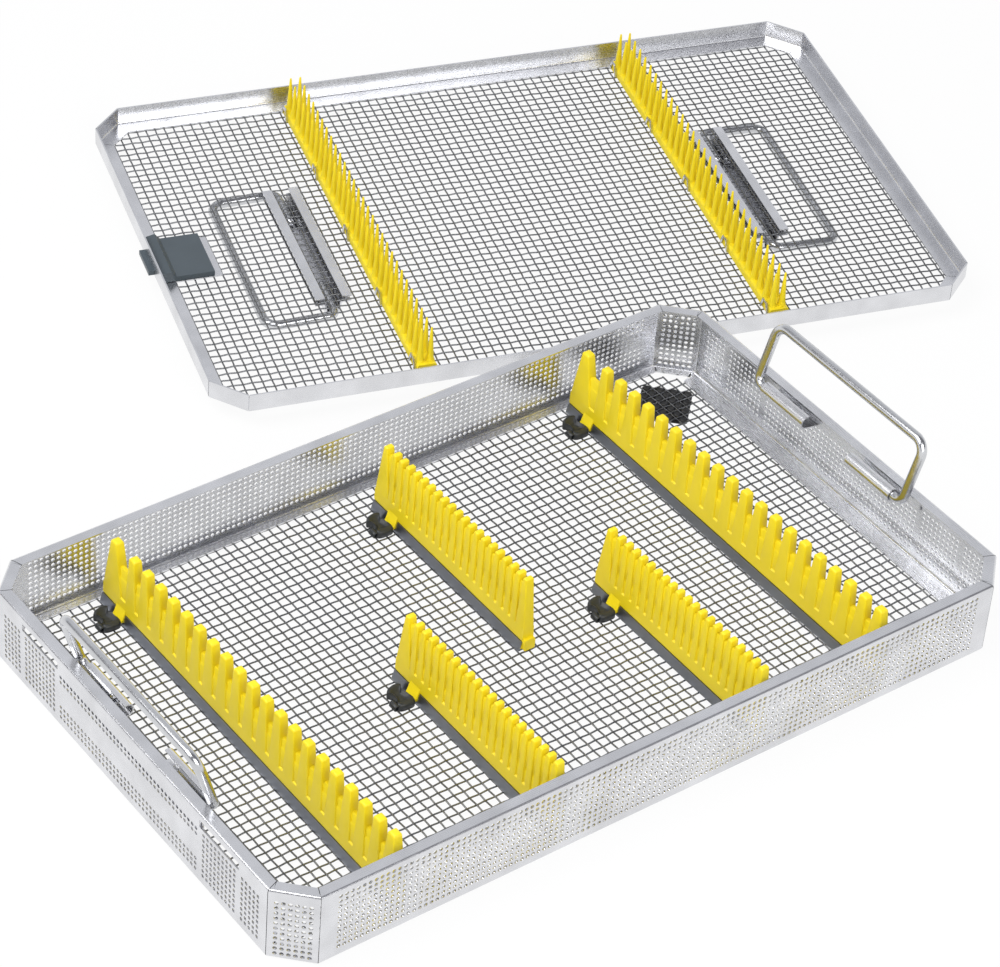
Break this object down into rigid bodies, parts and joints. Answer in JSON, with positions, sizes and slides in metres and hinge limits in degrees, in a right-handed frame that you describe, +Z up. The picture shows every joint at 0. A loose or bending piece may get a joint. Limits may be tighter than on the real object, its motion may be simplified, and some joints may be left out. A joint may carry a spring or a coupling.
{
  "type": "instrument storage tray",
  "caption": "Wire mesh instrument storage tray with perforated walls, folding handles, yellow silicone holding bars on rails, and a lift-off lid lying open beside it.",
  "frame": {"origin": "centre of the tray's floor mesh, on its underside, at table level", "axes": "+X along the tray's long side, away from the end nearest the camera; +Y from the front wall to the rear wall; +Z up"},
  "size_m": [0.6365, 0.5621, 0.0702],
  "materials": {
    "sheet_steel": "satin",
    "wire_steel": "polished",
    "yellow_silicone": "matte",
    "black_plastic": "satin",
    "grey_plastic": "satin",
    "black_rubber": "matte"
  },
  "bodies": {
    "tray": {"front_wall": "sheet_steel", "rear_wall": "sheet_steel", "left_wall": "sheet_steel", "right_wall": "sheet_steel", "front_left_corner": "sheet_steel", "front_right_corner": "sheet_steel", "rear_left_corner": "sheet_steel", "rear_right_corner": "sheet_steel", "floor_mesh": "wire_steel", "left_hinge_plate": "sheet_steel", "right_hinge_plate": "sheet_steel", "corner_pad": "black_rubber", "left_coarse_rail": "sheet_steel", "left_coarse_comb": "yellow_silicone", "left_coarse_clip": "black_plastic", "right_coarse_rail": "sheet_steel", "right_coarse_comb": "yellow_silicone", "right_coarse_clip": "black_plastic", "rear_fine_rail": "sheet_steel", "rear_fine_comb": "yellow_silicone", "rear_fine_clip": "black_plastic", "front_left_fine_rail": "sheet_steel", "front_left_fine_comb": "yellow_silicone", "front_left_fine_clip": "black_plastic", "front_right_fine_rail": "sheet_steel", "front_right_fine_comb": "yellow_silicone", "front_right_fine_clip": "black_plastic"},
    "handle_left": {"left_handle": "wire_steel"},
    "handle_right": {"right_handle": "wire_steel"},
    "lid": {"lid_frame": "sheet_steel", "lid_mesh": "wire_steel", "lid_left_hinge_channel": "sheet_steel", "lid_right_hinge_channel": "sheet_steel", "lid_left_inner_strip": "sheet_steel", "lid_left_outer_strip": "sheet_steel", "lid_right_inner_strip": "sheet_steel", "lid_right_outer_strip": "sheet_steel", "lid_latch_plate": "sheet_steel", "lid_left_pin_bar": "yellow_silicone", "lid_right_pin_bar": "yellow_silicone", "lid_left_wire_clip_1": "wire_steel", "lid_left_wire_clip_2": "wire_steel", "lid_left_wire_clip_3": "wire_steel", "lid_left_wire_clip_4": "wire_steel", "lid_left_wire_clip_5": "wire_steel", "lid_right_wire_clip_1": "wire_steel", "lid_right_wire_clip_2": "wire_steel", "lid_right_wire_clip_3": "wire_steel", "lid_right_wire_clip_4": "wire_steel", "lid_right_wire_clip_5": "wire_steel"},
    "lid_bail_left": {"lid_left_handle": "wire_steel"},
    "lid_bail_right": {"lid_right_handle": "wire_steel"},
    "latch": {"lid_latch": "grey_plastic"}
  },
  "joints": [
    {"name": "left_handle_hinge", "type": "hinge", "parent": "tray", "child": "handle_left", "pos_m": [-0.1929, 0, 0.0362], "axis": [0, 1, 0], "range_deg": [0, 175]},
    {"name": "right_handle_hinge", "type": "hinge", "parent": "tray", "child": "handle_right", "pos_m": [0.1929, 0, 0.0362], "axis": [0, -1, 0], "range_deg": [0, 175]},
    {"name": "lid_lift", "type": "slide", "parent": "tray", "child": "lid", "axis": [0, 0, 1], "range_m": [0, 0.12]},
    {"name": "lid_left_handle_hinge", "type": "hinge", "parent": "lid", "child": "lid_bail_left", "pos_m": [0.08697, 0.29308, 0.00365], "axis": [-0.294, -0.9558, 0], "range_deg": [0, 100]},
    {"name": "lid_right_handle_hinge", "type": "hinge", "parent": "lid", "child": "lid_bail_right", "pos_m": [0.31826, 0.22192, 0.00365], "axis": [0.294, 0.9558, 0], "range_deg": [0, 100]},
    {"name": "latch_slide", "type": "slide", "parent": "lid", "child": "latch", "axis": [0.9558, -0.294, 0], "range_m": [0, 0.0045]}
  ]
}
